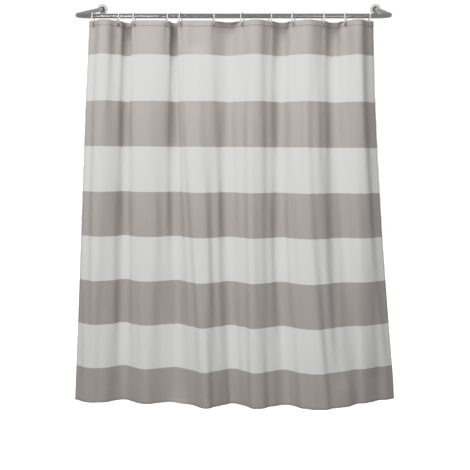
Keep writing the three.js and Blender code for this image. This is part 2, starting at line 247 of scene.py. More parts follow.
def curtainCloth():
    # Stripes and a plain weave on the flat cloth: U runs across it and V down it, in metres.
    graph = Graph("curtain_fabric")
    flat = graph.make("ShaderNodeUVMap", {"uv_map": "flat"}).out(0)
    across, down = graph.parts(flat)[:2]
    wobble = graph.noise(graph.join(across * 260.0, down * 30.0, 0.0), 1.0) * 0.0007
    count = ((down + wobble - dye["top"]) / dye["stripe"]).floor()
    isWhite = ((count + 2.0) / 2.0).fraction() * 2.0  # the bands below the first are white, taupe, white ...
    isWhite = 1.0 - isWhite.above(0.5)
    isWhite = isWhite * (down + wobble).above(dye["top"])
    # threads: warp runs down and weft runs across, each a row of rounded ridges that take turns
    warp = (across * (math.pi / dye["thread"])).sin().size()
    weft = (down * (math.pi / dye["thread"])).sin().size()
    turn = ((across / dye["thread"]).floor() + (down / dye["thread"]).floor()) * 0.5
    over = turn.fraction() * 2.0
    weave = warp * over + weft * (1.0 - over)
    uneven = graph.noise(graph.join(across * 900.0, down * 9.0, 0.0), 1.0, 3.0)
    slub = graph.noise(graph.join(across * 14.0, down * 700.0, 4.0), 1.0, 3.0)
    cloud = graph.noise(graph.join(across * 4.0, down * 2.5, 1.0), 1.0, 3.0)
    tone = (uneven * 0.5 + slub * 0.5).smooth(0.3, 0.7)
    taupe = graph.mixColour(tone, dye["taupe"], dye["taupeWorn"])
    white = graph.mixColour(tone, dye["white"], dye["whiteWorn"])
    stripes = graph.mixColour(isWhite, taupe, white)
    # painted shade: the colour is darkened along each seam, which sits in a shallow groove where shadow falls
    topSeamShade = 1.0 - (down - dye["seamTop"]).size().smooth(*dye["seamShadeTop"])
    bottomSeamShade = 1.0 - (down - dye["seamBottom"]).size().smooth(*dye["seamShadeBottom"])
    edge = across.least(dye["width"] - across)
    sideSeamShade = 1.0 - (edge - dye["seamSide"]).size().smooth(*dye["seamShadeSide"])
    seam = topSeamShade.most(bottomSeamShade).most(sideSeamShade)
    shade = 0.93 + weave * 0.05 + cloud * 0.04 - seam * dye["seamShade"]
    # the stripes' colour times this shade, which holds the painted seam shade along with the weave and the cloud
    dyeAndPaintedShade = graph.mixColour(1.0, stripes, graph.join(shade, shade, shade), "MULTIPLY")
    crease = graph.noise(graph.join(across * 7.0, down * 3.0, 7.0), 1.0, 4.0)
    height = weave * 0.00009 + uneven * 0.00012 + slub * 0.00008
    normal = graph.bump(height * 1000.0 + crease * 0.9, 0.001, 0.7)
    return graph.surface(
        Base_Color=dyeAndPaintedShade, Roughness=0.84 - cloud * 0.08, Normal=normal, IOR=1.4,
        Sheen_Weight=0.15, Sheen_Roughness=0.5, Sheen_Tint=(1.0, 0.98, 0.96, 1.0),
    )


def sewingThread():
    graph = Graph("polyester_thread")
    place = graph.parts(graph.objectPoint())
    twist = ((place[0] + place[2]) * 5200.0).sin() * 0.5 + 0.5
    colour = graph.mixColour(twist, (0.40, 0.36, 0.34, 1.0), (0.50, 0.46, 0.44, 1.0))
    normal = graph.bump(twist, 0.0001, 0.6)
    return graph.surface(Base_Color=colour, Roughness=0.55 + twist * 0.1, Normal=normal)


def brushedMetal(name, light, dark, roughness, alongX, scratch=0.00004, unevenness=0.14):
    # Fine scratches drawn out along one direction, over faint clouds of wear.
    graph = Graph(name)
    x, y, z = graph.parts(graph.objectPoint())
    stretch = (1.5, 900.0, 900.0) if alongX else (700.0, 700.0, 700.0)
    grain = graph.noise(graph.join(x * stretch[0], y * stretch[1], z * stretch[2]), 1.0, 3.0, 0.6)
    wear = graph.noise(graph.join(x, y, z), 22.0, 4.0, 0.55)
    tone = (grain * 0.65 + wear * 0.35).smooth(0.3, 0.72)
    colour = graph.mixColour(tone, dark, light)
    rough = roughness + (1.0 - grain) * unevenness + wear * 0.05
    normal = graph.bump(grain, scratch, 0.5)
    return graph.surface(Base_Color=colour, Metallic=1.0, Roughness=rough, Normal=normal)


def ringPlastic():
    graph = Graph("ring_plastic_white")
    place = graph.objectPoint()
    skin = graph.noise(place, 1300.0, 2.0)
    haze = graph.noise(place, 60.0, 3.0)
    colour = graph.mixColour(haze.smooth(0.35, 0.65), (0.82, 0.815, 0.81, 1.0), (0.88, 0.88, 0.88, 1.0))
    return graph.surface(
        Base_Color=colour, Roughness=0.3 + haze * 0.12, Normal=graph.bump(skin, 0.00003, 0.5),
        Subsurface_Weight=0.12, Subsurface_Radius=(0.6, 0.6, 0.6), Subsurface_Scale=0.002,
        Coat_Weight=0.2, Coat_Roughness=0.15,
    )


def paleCover():
    graph = Graph("pale_satin_cover")
    place = graph.objectPoint()
    peel = graph.noise(place, 420.0, 2.0)
    haze = graph.noise(place, 35.0, 4.0)
    colour = graph.mixColour(haze.smooth(0.3, 0.7), (0.74, 0.735, 0.71, 1.0), (0.82, 0.815, 0.79, 1.0))
    return graph.surface(
        Base_Color=colour, Metallic=0.35, Roughness=0.28 + haze * 0.12,
        Normal=graph.bump(peel, 0.00006, 0.5), Coat_Weight=0.3, Coat_Roughness=0.2,
    )


def floorPaint():
    graph = Graph("floor_paint")
    patch = graph.noise(graph.objectPoint(), 1.5, 3.0)
    colour = graph.mixColour(patch, (0.90, 0.90, 0.90, 1.0), (0.92, 0.92, 0.92, 1.0))
    return graph.surface(
        Base_Color=colour, Roughness=0.9, Emission_Color=(1.0, 1.0, 1.0, 1.0), Emission_Strength=1.0
    )


materials = {
    "cloth": curtainCloth(),
    "thread": sewingThread(),
    "rod": brushedMetal("satin_nickel_rod", (0.56, 0.54, 0.525, 1.0), (0.46, 0.445, 0.43, 1.0), 0.15, True,
                        0.000001, 0.05),
    "collar": brushedMetal("satin_nickel_collar", (0.44, 0.42, 0.41, 1.0), (0.34, 0.325, 0.31, 1.0),
                           0.24, False),
    # the eyelets' nickel is coloured far darker than the rod's nickel
    "eyelet": brushedMetal("darkened_nickel_eyelet", (0.24, 0.225, 0.215, 1.0), (0.15, 0.145, 0.14, 1.0),
                           0.34, False),
    "zinc": brushedMetal("zinc_plate", (0.60, 0.61, 0.63, 1.0), (0.46, 0.47, 0.49, 1.0), 0.34, False),
    "ring": ringPlastic(),
    "cover": paleCover(),
}
print("materials made")


def makeStudio():
    makeCamera()
    for name in ("key", "fill", "back", "leftStrip", "rightStrip"):
        makeLight(name)
    settings = scene.view_settings
    settings.use_curve_mapping = True
    settings.curve_mapping.extend = "HORIZONTAL"
    curve = settings.curve_mapping.curves[3]
    places = studio["response"]
    curve.points[0].location, curve.points[1].location = places[0], places[-1]
    for place in places[1:-1]:
        curve.points.new(*place)
    settings.curve_mapping.update()
    world = bpy.data.worlds.new("studio")
    scene.world = world
    world.use_nodes = True
    graph = Graph("studio", world.node_tree)
    direction = graph.make("ShaderNodeTexCoord").out("Generated")
    height = graph.parts(direction)[2].smooth(*studio["horizon"])
    sky = studio["skyLow"] + height * (studio["skyHigh"] - studio["skyLow"])
    rays = graph.make("ShaderNodeLightPath")
    seen, mirrored = rays.out("Is Camera Ray"), rays.out("Is Glossy Ray")
    sky = sky + mirrored * (studio["mirrored"] - sky)
    strength = sky + seen * (studio["background"] - sky)
    glow = graph.make("ShaderNodeBackground", None, {0: (1.0, 1.0, 1.0, 1.0), 1: strength})
    graph.make("ShaderNodeOutputWorld", None, {0: glow.out(0)})
    reach, height = studio["floorReach"], studio["floorHeight"]
    mesh = bpy.data.meshes.new("floor")
    signs = ((-1, -1), (1, -1), (1, 1), (-1, 1))
    corners = [(a * reach, b * reach, height) for a, b in signs]
    mesh.from_pydata(corners, [], [(0, 1, 2, 3)])
    mesh.materials.append(floorPaint())
    floor = bpy.data.objects.new("floor", mesh)
    scene.collection.objects.link(floor)
    floor.visible_diffuse = False
    floor.visible_glossy = False


makeStudio()


def addPiece(name, points, faces, material):
    mesh = bpy.data.meshes.new(name)
    mesh.vertices.add(len(points))
    mesh.vertices.foreach_set("co", np.ascontiguousarray(points, dtype=np.float32).ravel())
    faces = np.asarray(faces)
    mesh.loops.add(faces.size)
    mesh.loops.foreach_set("vertex_index", faces.ravel().astype(np.int32))
    mesh.polygons.add(len(faces))
    sides = faces.shape[1]
    mesh.polygons.foreach_set("loop_start", np.arange(0, faces.size, sides, dtype=np.int32))
    mesh.polygons.foreach_set("loop_total", np.full(len(faces), sides, dtype=np.int32))
    mesh.update(calc_edges=True)
    mesh.validate()
    mesh.polygons.foreach_set("use_smooth", np.ones(len(mesh.polygons), dtype=bool))
    mesh.materials.append(material)
    piece = bpy.data.objects.new(name, mesh)
    scene.collection.objects.link(piece)
    return piece


def gridFaces(rows, columns, closeRows=False, closeColumns=False):
    # Quads between neighbours of a rows x columns grid of points; a closed direction joins its two ends.
    row = np.arange(rows if closeRows else rows - 1)[:, None]
    column = np.arange(columns if closeColumns else columns - 1)[None, :]
    nextRow = (row + 1) % rows
    nextColumn = (column + 1) % columns
    corners = (row * columns + column, row * columns + nextColumn,
               nextRow * columns + nextColumn, nextRow * columns + column)
    return np.stack(np.broadcast_arrays(*corners), -1).reshape(-1, 4)


def turnOut(piece):
    # Makes a closed piece's faces point outwards.
    work = bmesh.new()
    work.from_mesh(piece.data)
    bmesh.ops.remove_doubles(work, verts=work.verts, dist=1e-7)
    bmesh.ops.recalc_face_normals(work, faces=work.faces)
    work.to_mesh(piece.data)
    work.free()
    piece.data.polygons.foreach_set("use_smooth", np.ones(len(piece.data.polygons), dtype=bool))
    return piece


def sharpen(piece, degrees=35.0):
    piece.data.set_sharp_from_angle(angle=math.radians(degrees))
    return piece


def carried(name, centres, firsts, seconds, loop, material, sides, closed=True):
    # A profile carried round a path: each station of the loop is (index of the path point, radius), and its
    # points are centre + radius * (cos v * first + sin v * second). A closed loop comes back to its start.
    stations = np.array([station for station, radius in loop])
    radii = np.array([radius for station, radius in loop], float)
    angle = np.linspace(0.0, 2 * math.pi, sides, endpoint=False)
    around = np.cos(angle)[None, :, None] * firsts[stations][:, None, :]
    around = around + np.sin(angle)[None, :, None] * seconds[stations][:, None, :]
    points = centres[stations][:, None, :] + radii[:, None, None] * around
    faces = gridFaces(len(loop), sides, closed, True)
    return turnOut(addPiece(name, points.reshape(-1, 3), faces, material))


def lathe(name, origin, axis, first, profile, material, sides=64, closed=True):
    # A closed profile of (height along the axis, radius) pairs turned about the axis.
    axis, first = np.array(axis, float), np.array(first, float)
    second = np.cross(axis, first)
    heights = np.array([height for height, radius in profile], float)
    centres = np.array(origin, float) + heights[:, None] * axis
    loop = [(index, radius) for index, (height, radius) in enumerate(profile)]
    ones = np.ones((len(profile), 1))
    return carried(name, centres, ones * first, ones * second, loop, material, sides, closed)


def rounded(profile, corner, steps=5):
    # Rounds the corners of a closed profile: each corner becomes an arc-like run of a quadratic curve.
    points = np.array(profile, float)
    before = np.roll(points, 1, 0) - points
    after = np.roll(points, -1, 0) - points
    lengthBefore = np.linalg.norm(before, axis=1, keepdims=True)
    lengthAfter = np.linalg.norm(after, axis=1, keepdims=True)
    cut = np.minimum(corner, 0.45 * np.minimum(lengthBefore, lengthAfter))
    start = points + before / lengthBefore * cut
    end = points + after / lengthAfter * cut
    share = np.linspace(0.0, 1.0, steps)[None, :, None]
    curve = (1 - share) ** 2 * start[:, None] + 2 * share * (1 - share) * points[:, None]
    curve = curve + share ** 2 * end[:, None]
    return curve.reshape(-1, 2)


def standIn(piece, body, slotName, *nodes):
    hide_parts(*nodes)
    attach(piece, body)
    return piece


rod = {
    "radius": 0.0111, "wall": 0.0012, "halfWidth": 0.742, "projection": 0.700, "rise": 0.1455,
    "bend": 0.100, "splice": 0.430, "gap": 0.0003, "edge": 0.0003, "sides": 56, "bendSteps": 36,
}
tilt = math.atan2(rod["rise"], rod["projection"])
armReach = math.hypot(rod["rise"], rod["projection"])
plateThickness = 0.004
armEnd = armReach - (plateThickness + rod["gap"]) / math.cos(tilt) - rod["radius"] * math.tan(tilt)
up = np.array((0.0, -math.sin(tilt), math.cos(tilt)))  # square to the plane of the rod
back = np.array((0.0, math.cos(tilt), math.sin(tilt)))  # along the arms, towards the wall
front = np.array((0.0, -rod["projection"], -rod["rise"]))
sideways = np.array((1.0, 0.0, 0.0))


def tubeLoop(count):
    # Out along the outer wall and home along the inner one, with a small bevel at each end.
    outer, inner = rod["radius"], rod["radius"] - rod["wall"]
    edge = rod["edge"]
    out = [(0, inner + edge), (0, outer - edge)] + [(index, outer) for index in range(1, count - 1)]
    home = [(count - 1, outer - edge), (count - 1, inner + edge)]
    home = home + [(index, inner) for index in range(count - 2, 0, -1)]
    return out + home


def rodPath(side, start):
    # Half the rod's centre line in its own plane: straight, a quarter bend, straight to the wall.
    half, bend = rod["halfWidth"], rod["bend"]
    turn = np.linspace(0.0, math.pi / 2, rod["bendSteps"] + 1)
    straightX = np.concatenate([[start, start + rod["edge"]], np.linspace(start + 0.02, half - bend, 6)[:-1]])
    armY = np.concatenate([np.linspace(bend, armEnd - 0.01, 10)[1:], [armEnd - rod["edge"], armEnd]])
    x = np.concatenate([straightX, half - bend + bend * np.sin(turn), np.full(len(armY), half)])
    y = np.concatenate([0 * straightX, bend * (1 - np.cos(turn)), armY])
    heading = np.concatenate([0 * straightX, turn, np.full(len(armY), math.pi / 2)])
    centres = front + side * x[:, None] * sideways + y[:, None] * back
    across = side * np.sin(heading)[:, None] * sideways - np.cos(heading)[:, None] * back
    return centres, across, np.ones((len(x), 1)) * up


def makeRod():
    edge, half = rod["edge"], rod["splice"] - rod["gap"] / 2
    run = np.linspace(-half + 0.02, half - 0.02, 18)
    x = np.concatenate([[-half, -half + edge], run, [half - edge, half]])
    ones = np.ones((len(x), 1))
    centres = front + x[:, None] * sideways
    loop = tubeLoop(len(x))
    tube = carried("front_tube", centres, ones * back, ones * up, loop, materials["rod"], rod["sides"])
    standIn(sharpen(tube), "rod", "brushed_nickel", "rod_front_tube")
    for side, word in ((-1, "left"), (1, "right")):
        path = rodPath(side, rod["splice"] + rod["gap"] / 2)
        loop = tubeLoop(len(path[0]))
        tube = carried(word + "_arm_tube", *path, loop, materials["rod"], rod["sides"])
        standIn(sharpen(tube), "rod", "brushed_nickel", "rod_" + word + "_arm_tube")
        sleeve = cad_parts[word + "_splice_sleeve"]
        sleeve.data.materials.clear()
        sleeve.data.materials.append(materials["zinc"])


makeRod()
print("rod made")

seat = {
    "plateRadius": 0.0259, "spigotRadius": 0.0096, "spigotWall": 0.003, "spigotLength": 0.024,
    "collarBore": 0.0114, "collarRadius": 0.0148, "collarLength": 0.030,
    "coverInner": 0.0262, "coverSheet": 0.0012, "coverDepth": 0.009, "coverRim": 0.003,
    "screwCircle": 0.0204, "screwShank": 0.0019, "screwHead": 0.0036,
    "screwHeight": 0.0022, "screwLength": 0.030,
    "setRadius": 0.002, "setPlace": 0.021,
    "collarFlush": 0.006, "collarBevel": 0.0011, "collarSides": 64, "coverSides": 72, "coverBulge": 0.0011,
    "threadTurns": 17, "threadPitch": 0.00125, "threadDepth": 0.72, "tip": 0.00005,
}


def cutBy(piece, cutter):
    # Takes the cutter's solid out of the piece.
    change = piece.modifiers.new("cut", "BOOLEAN")
    change.operation = "DIFFERENCE"
    change.solver = "EXACT"
    change.object = cutter
    bpy.context.view_layer.update()
    finished = piece.evaluated_get(bpy.context.evaluated_depsgraph_get())
    mesh = bpy.data.meshes.new_from_object(finished)
    piece.modifiers.clear()
    piece.data = mesh
    bpy.data.objects.remove(cutter)
    return piece


def collarPiece(name, centre):
    # Profile heights run down the arm; the end at the wall is cut flush with the plate, so its height is
    # (depth + radius * sin v * lean) / cos tilt.
    bore, outer, length = seat["collarBore"], seat["collarRadius"], seat["collarLength"]
    start, sides = seat["collarFlush"], seat["collarSides"]
    profile = rounded([(length, bore), (length, outer), (start, outer), (start, bore)], seat["collarBevel"], 6)
    angle = np.linspace(0, 2 * math.pi, sides, endpoint=False)
    height, radius = profile[:, 0][:, None], profile[:, 1][:, None]
    out = np.cos(angle)[None, :] * radius
    rise = np.sin(angle)[None, :] * radius
    flush = (plateThickness + rod["gap"] - rise * math.sin(tilt)) / math.cos(tilt)
    share = np.clip((2 * start - height) / start, 0, 1)  # 1 at the wall end, 0 on the body
    along = height * (1 - share) + (flush + (height - start)) * share
    points = centre + out[..., None] * sideways + rise[..., None] * up - along[..., None] * back
    faces = gridFaces(len(profile), sides, True, True)
    piece = turnOut(addPiece(name, points.reshape(-1, 3), faces, materials["collar"]))
    drill = seat["setRadius"] + rod["gap"]
    hole = lathe("cutter", centre - back * seat["setPlace"], -up, sideways,
                 [(0.008, 0.0), (0.008, drill), (0.03, drill), (0.03, 0.0)], materials["zinc"], 32)
    return cutBy(piece, hole)


def coverPiece(name, centre):
    # Loops about the wall's normal; the inner ones are the ellipse that the tilted collar passes through.
    inner, sheet, depth, rim = seat["coverInner"], seat["coverSheet"], seat["coverDepth"], seat["coverRim"]
    outer = inner + sheet
    bulge, sides = seat["coverBulge"], seat["coverSides"]  # the face is slightly domed
    arc = np.linspace(0.0, math.pi / 2, 9)
    loops = [(rod["gap"], outer, 1.0), (rim, outer, 1.0)]
    loops += [(depth - rim + rim * math.sin(a), outer - rim + rim * math.cos(a), 1.0) for a in arc]
    loops += [(depth + bulge * (1 - share * share), 0.0, share) for share in np.linspace(0.85, 0.12, 8)]
    loops += [(depth + bulge - 0.0002, 0.0, 0.03), (depth + bulge - 0.0006, 0.0, 0.0)]
    loops += [(depth + bulge - sheet, 0.0, 0.0), (depth - sheet + bulge * 0.6, 0.0, 0.4)]
    loops += [(depth - rim + (rim - sheet) * math.sin(a), inner - rim + rim * math.cos(a), 1.0)
              for a in arc[::-1]]
    loops += [(rim, inner, 1.0), (rod["gap"], inner, 1.0)]
    angle = np.linspace(0, 2 * math.pi, sides, endpoint=False)
    bore = seat["collarRadius"] + rod["gap"]
    rows = []
    for height, radius, share in loops:
        holeX = bore * np.cos(angle)
        holeZ = bore * np.sin(angle) / math.cos(tilt) - height * math.tan(tilt)
        edge = radius if share == 1.0 else outer - rim
        x = holeX * (1 - share) + edge * np.cos(angle) * share
        z = holeZ * (1 - share) + edge * np.sin(angle) * share
        rows.append(np.stack([x, np.full(sides, -height), z], -1))
    points = centre + np.array(rows)
    faces = gridFaces(len(rows), sides, True, True)
    return turnOut(addPiece(name, points.reshape(-1, 3), faces, materials["cover"]))


def platePiece(name, centre):
    # A disc with a spigot up the arm; the bore and the three screw holes are cut out of it.
    disc = rounded([(0.0, 0.0006), (0.0, seat["plateRadius"]), (plateThickness, seat["plateRadius"]),
                    (plateThickness, 0.0006)], 0.0006, 5)
    plate = lathe(name, centre, (0, -1, 0), sideways, disc, materials["zinc"], 72)
    radius, length = seat["spigotRadius"], seat["spigotLength"]
    tube = rounded([(0.0015, 0.0006), (0.0015, radius), (length, radius), (length, 0.0006)], 0.0006, 5)
    spigot = lathe("spigot", centre, -back, sideways, tube, materials["zinc"], 48)
    join = plate.modifiers.new("join", "BOOLEAN")
    join.operation = "UNION"
    join.object = spigot
    bpy.context.view_layer.update()
    plate.data = bpy.data.meshes.new_from_object(plate.evaluated_get(bpy.context.evaluated_depsgraph_get()))
    plate.modifiers.clear()
    bpy.data.objects.remove(spigot)
    bore = seat["spigotRadius"] - seat["spigotWall"]
    hole = [(-0.01, 0.0), (-0.01, bore), (0.03, bore), (0.03, 0.0)]
    plate = cutBy(plate, lathe("cutter", centre, -back, sideways, hole, materials["zinc"], 48))
    for place in screwPlaces(centre):
        shank = seat["screwShank"] + rod["gap"]
        hole = [(-0.01, 0.0), (-0.01, shank), (0.01, shank), (0.01, 0.0)]
        plate = cutBy(plate, lathe("cutter", place, (0, -1, 0), sideways, hole, materials["zinc"], 24))
    return plate


def screwPlaces(centre):
    angle = math.pi / 2 + 2 * math.pi * np.arange(3) / 3
    out = seat["screwCircle"] * np.stack([np.cos(angle), 0 * angle, np.sin(angle)], -1)
    return centre + out


def screwPiece(name, place):
    # A pan head with a cross recess, and a shank whose ridges are a saw-tooth of the radius.
    under = -plateThickness - rod["gap"]
    head, height = seat["screwHead"], seat["screwHeight"]
    shank, length = seat["screwShank"], seat["screwLength"]
    dome = np.linspace(0.0, 1.0, 9)
    profile = [(under - height * (1 - 0.55 * t ** 3), head * (0.08 + 0.92 * math.sin(t * math.pi / 2)))
               for t in dome]
    profile += [(under, head), (under, shank)]
    for turn in range(seat["threadTurns"]):
        base = under + 0.006 + turn * seat["threadPitch"]
        taper = min(1.0, (seat["threadTurns"] - turn) / 3.0)
        valley = shank * seat["threadDepth"] * taper
        profile += [(base, valley), (base + 0.0005, shank * taper), (base + 0.0007, shank * taper),
                    (base + 0.0012, valley)]
    profile += [(under + length - 0.001, shank * 0.2), (under + length, seat["tip"])]
    profile = [(profile[0][0], seat["tip"])] + profile
    piece = lathe(name, place, (0, 1, 0), sideways, profile, materials["zinc"], 20)
    slot = []
    for first, second in ((sideways, np.array((0, 0, 1.0))), (np.array((0, 0, 1.0)), sideways)):
        corners = [place + np.array((0, under - height - 0.001, 0)) + first * a * 0.0021 + second * b * 0.0004
                   + np.array((0, c, 0)) for c in (0.0, 0.0022) for a, b in ((-1, -1), (1, -1), (1, 1), (-1, 1))]
        box = addPiece("cutter", np.array(corners),
                       [(0, 1, 2, 3), (4, 5, 6, 7), (0, 1, 5, 4), (1, 2, 6, 5), (2, 3, 7, 6), (3, 0, 4, 7)],
                       materials["zinc"])
        slot.append(turnOut(box))
    for cutter in slot:
        piece = cutBy(piece, cutter)
    return piece


def setScrewPiece(name, centre):
    start, end = seat["collarBore"], seat["collarRadius"] - rod["gap"]
    radius = seat["setRadius"]
    profile = rounded([(start, 0.00004), (start, radius), (end, radius), (end, 0.00004)], 0.0003, 4)
    piece = lathe(name, centre - back * seat["setPlace"], -up, sideways, profile, materials["zinc"], 32)
    hexagon = lathe("cutter", centre - back * seat["setPlace"], -up, sideways,
                    [(end - 0.0015, 0.0), (end - 0.0015, radius * 0.5), (end + 0.003, radius * 0.5),
                     (end + 0.003, 0.0)], materials["zinc"], 6)
    return cutBy(piece, hexagon)


def makeHardware():
    for side, word in ((-1, "left"), (1, "right")):
        centre = np.array((side * rod["halfWidth"], 0.0, 0.0))
        plate = platePiece(word + "_plate", centre)
        standIn(sharpen(plate, 30), "rod", "zinc", word + "_wall_plate")
        collar = collarPiece(word + "_collar_turned", centre)
        standIn(sharpen(collar, 40), "rod", "brushed_nickel", word + "_collar")
        cover = coverPiece(word + "_cover", centre)
        standIn(sharpen(cover, 50), "rod", "pale_cover", word + "_flange_cover")
        screw = setScrewPiece(word + "_grub_screw", centre)
        standIn(sharpen(screw, 35), "rod", "zinc", word + "_set_screw")
        for index, place in enumerate(screwPlaces(centre), 1):
            screw = screwPiece("%s_fixing_screw_%d" % (word, index), place)
            standIn(sharpen(screw, 35), "rod", "zinc", "%s_wall_screw_%d" % (word, index))


makeHardware()
print("wall hardware made")

cloth = {
    "width": 1.829, "height": 1.829, "margin": 0.026, "holeDrop": 0.017, "header": 0.040, "flatAtHole": 0.008,
    "holeLean": 0.6, "mostCurl": 2.4, "hungWidth": 1.290, "firstHole": -0.650, "hemFirst": -0.744,
    "hemWidth": 1.545, "spread": 1.2, "topHeight": -0.167464, "fullLeanAt": 0.35,
    "hemLeftBack": 0.025, "hemRightBack": 0.146, "leftBow": (-0.6, 0.15), "rightBow": (0.62, 0.92),
    "top": [0.736, 0.466, 0.948, 0.392, 0.976, 0.825, 0.809, 0.663, 0.844, 0.651, 0.678],
    "hem": [0.85, 0.73, 0.81, 0.88, 0.65, 0.63, 0.71, 0.73, 0.88, 0.95, 0.92],
    "lean": [0.2, 0.07, -0.12, -0.4, -0.07, 0.18, 0, -0.12, 0.13, 0.12, -0.34],
    "halfThickness": 0.00022,
    "headerHem": 0.027, "sideHem": 0.009, "bottomHem": 0.010, "hemThickness": 0.00042,
    "holeRadius": 0.0047, "stepBetween": 4, "halvings": 40,
    "holeStep": 0.004,  # from a hole's centre to the next line of the grid
    "columns": 336, "rows": 96, "hemRows": 0.03, "closeColumns": 0.0016, "closeRows": 0.0014, "edge": 0.0008,
}
topSpacing, hemSpacing, foldLean = (np.array(cloth[name]) for name in ("top", "hem", "lean"))
spans = len(topSpacing)
pitch = (cloth["width"] - 2 * cloth["margin"]) / spans
holeAcross = cloth["margin"] + pitch * np.arange(spans + 1)


def smooth(t):
    t = np.clip(t, 0.0, 1.0)
    return t * t * (3 - 2 * t)


def halve(low, high, tooLow):
    # The root of each element by halving: low and high are arrays, tooLow answers for an array.
    for _ in range(cloth["halvings"]):
        middle = (low + high) / 2
        raiseLow = tooLow(middle)
        low = np.where(raiseLow, middle, low)
        high = np.where(raiseLow, high, middle)
    return (low + high) / 2


def spanShape(share):
    # Spacing and curl of every span in every row, share from 0 under the header to 1 at the hem.
    mixed = topSpacing + (hemSpacing - topSpacing) * share[:, None]
    width = cloth["hungWidth"] + (cloth["hemWidth"] - cloth["hungWidth"]) * share ** cloth["spread"]
    power = halve(np.full(len(share), 0.02), np.full(len(share), 8.0),
                  lambda p: (mixed ** p[:, None]).sum(1) * pitch > width)
    spacing = mixed ** power[:, None]
    lean = foldLean * smooth(share / cloth["fullLeanAt"])[:, None]
    u = (np.arange(64) + 0.5) / 64
    flat = 2 * cloth["flatAtHole"] / pitch

    def wide(curl):
        heading = cloth["holeLean"] * np.cos(math.pi * u) + curl[..., None] * np.sin(2 * math.pi * u)
        heading = heading + lean[..., None] * np.sin(math.pi * u)
        return flat * math.cos(cloth["holeLean"]) + (1 - flat) * np.cos(heading).mean(-1) > spacing

    least, most = -0.85 * cloth["holeLean"], cloth["mostCurl"]
    return halve(np.full(spacing.shape, least), np.full(spacing.shape, most), wide), lean


def headingAt(across, curl, lean):
    # Heading of the cloth in plan: side * (holeLean cos(pi u) + curl sin(2 pi u) + lean sin(pi u)).
    along = (across - cloth["margin"]) / pitch
    span = np.clip(np.floor(along).astype(int), 0, spans - 1)
    flat = cloth["flatAtHole"]
    u = np.clip(((along - span) * pitch - flat) / (pitch - 2 * flat), 0.0, 1.0)
    bend = cloth["holeLean"] * np.cos(math.pi * u) + curl[:, span] * np.sin(2 * math.pi * u)
    return np.where(span % 2 == 1, 1.0, -1.0) * (bend + lean[:, span] * np.sin(math.pi * u))


def clothPlan(across, down):
    # Places x, y and heading for every row and column: the heading is summed along the cloth from hole one.
    share = np.clip(down - cloth["header"], 0.0, None) / (cloth["height"] - cloth["header"])
    curl, lean = spanShape(share)
    step = np.diff(across)
    part = (np.arange(cloth["stepBetween"]) + 0.5) / cloth["stepBetween"]
    between = (across[:-1, None] + step[:, None] * part).ravel()
    heading = headingAt(between, curl, lean).reshape(len(down), -1, cloth["stepBetween"])
    x = np.zeros((len(down), len(across)))
    y = np.zeros_like(x)
    x[:, 1:] = np.cumsum(np.cos(heading).mean(-1) * step, 1)
    y[:, 1:] = np.cumsum(np.sin(heading).mean(-1) * step, 1)
    first = np.searchsorted(across, cloth["margin"] - 1e-9)
    start = cloth["firstHole"] + (cloth["hemFirst"] - cloth["firstHole"]) * share
    x = x - x[:, first, None] + start[:, None]
    place = 2 * across / cloth["width"] - 1
    left, right = cloth["leftBow"], cloth["rightBow"]
    bow = cloth["hemLeftBack"] * (1 - smooth((place - left[0]) / (left[1] - left[0])))
    bow = bow + cloth["hemRightBack"] * smooth((place - right[0]) / (right[1] - right[0]))
    y = y - y[:, first, None] + share[:, None] * bow - rod["projection"]
    return x, y, headingAt(across, curl, lean), share


wave = {
    "pleat": 0.0022, "pleatWidth": 0.011, "pleatDrop": 0.13,
    "pucker": 0.0007, "puckerReach": 0.016,
    "ripple": 0.0020, "seed": 11, "count": 26,
    "across": (8.0, 26.0), "downwards": (-3.2, 3.2), "height": (0.3, 1.0),
}


def columnsAndRows():
    # Even columns with lines at both sides of each hole and at each hem's edge; close rows at the hems.
    nearHole = cloth["holeStep"] * np.array((-2, -1, 0, 1, 2))
    rim = cloth["edge"] * np.arange(3)
    side, width, height = cloth["sideHem"], cloth["width"], cloth["height"]
    columns = [np.linspace(0.0, width, cloth["columns"])]
    columns += [centre + nearHole for centre in holeAcross]
    columns += [rim, width - rim, side + rim / 2, width - side - rim / 2]
    last = height - cloth["hemRows"]
    rows = [np.linspace(0.0, cloth["header"], 11)[:-1], np.linspace(cloth["header"], last, cloth["rows"])]
    rows += [np.linspace(last, height, 8), cloth["holeDrop"] + nearHole]
    rows += [rim, height - rim, cloth["headerHem"] + rim / 2, height - cloth["bottomHem"] - rim / 2]
    return thin(columns, cloth["closeColumns"]), thin(rows, cloth["closeRows"])


def thin(lists, least):
    # sorted lines without those of the first list that fall closer than least to another list's
    even, wanted = lists[0], np.unique(np.round(np.concatenate(lists[1:]), 7))
    gap = np.abs(even[:, None] - wanted[None, :]).min(1)
    return np.unique(np.round(np.concatenate([even[gap > least], wanted]), 7))


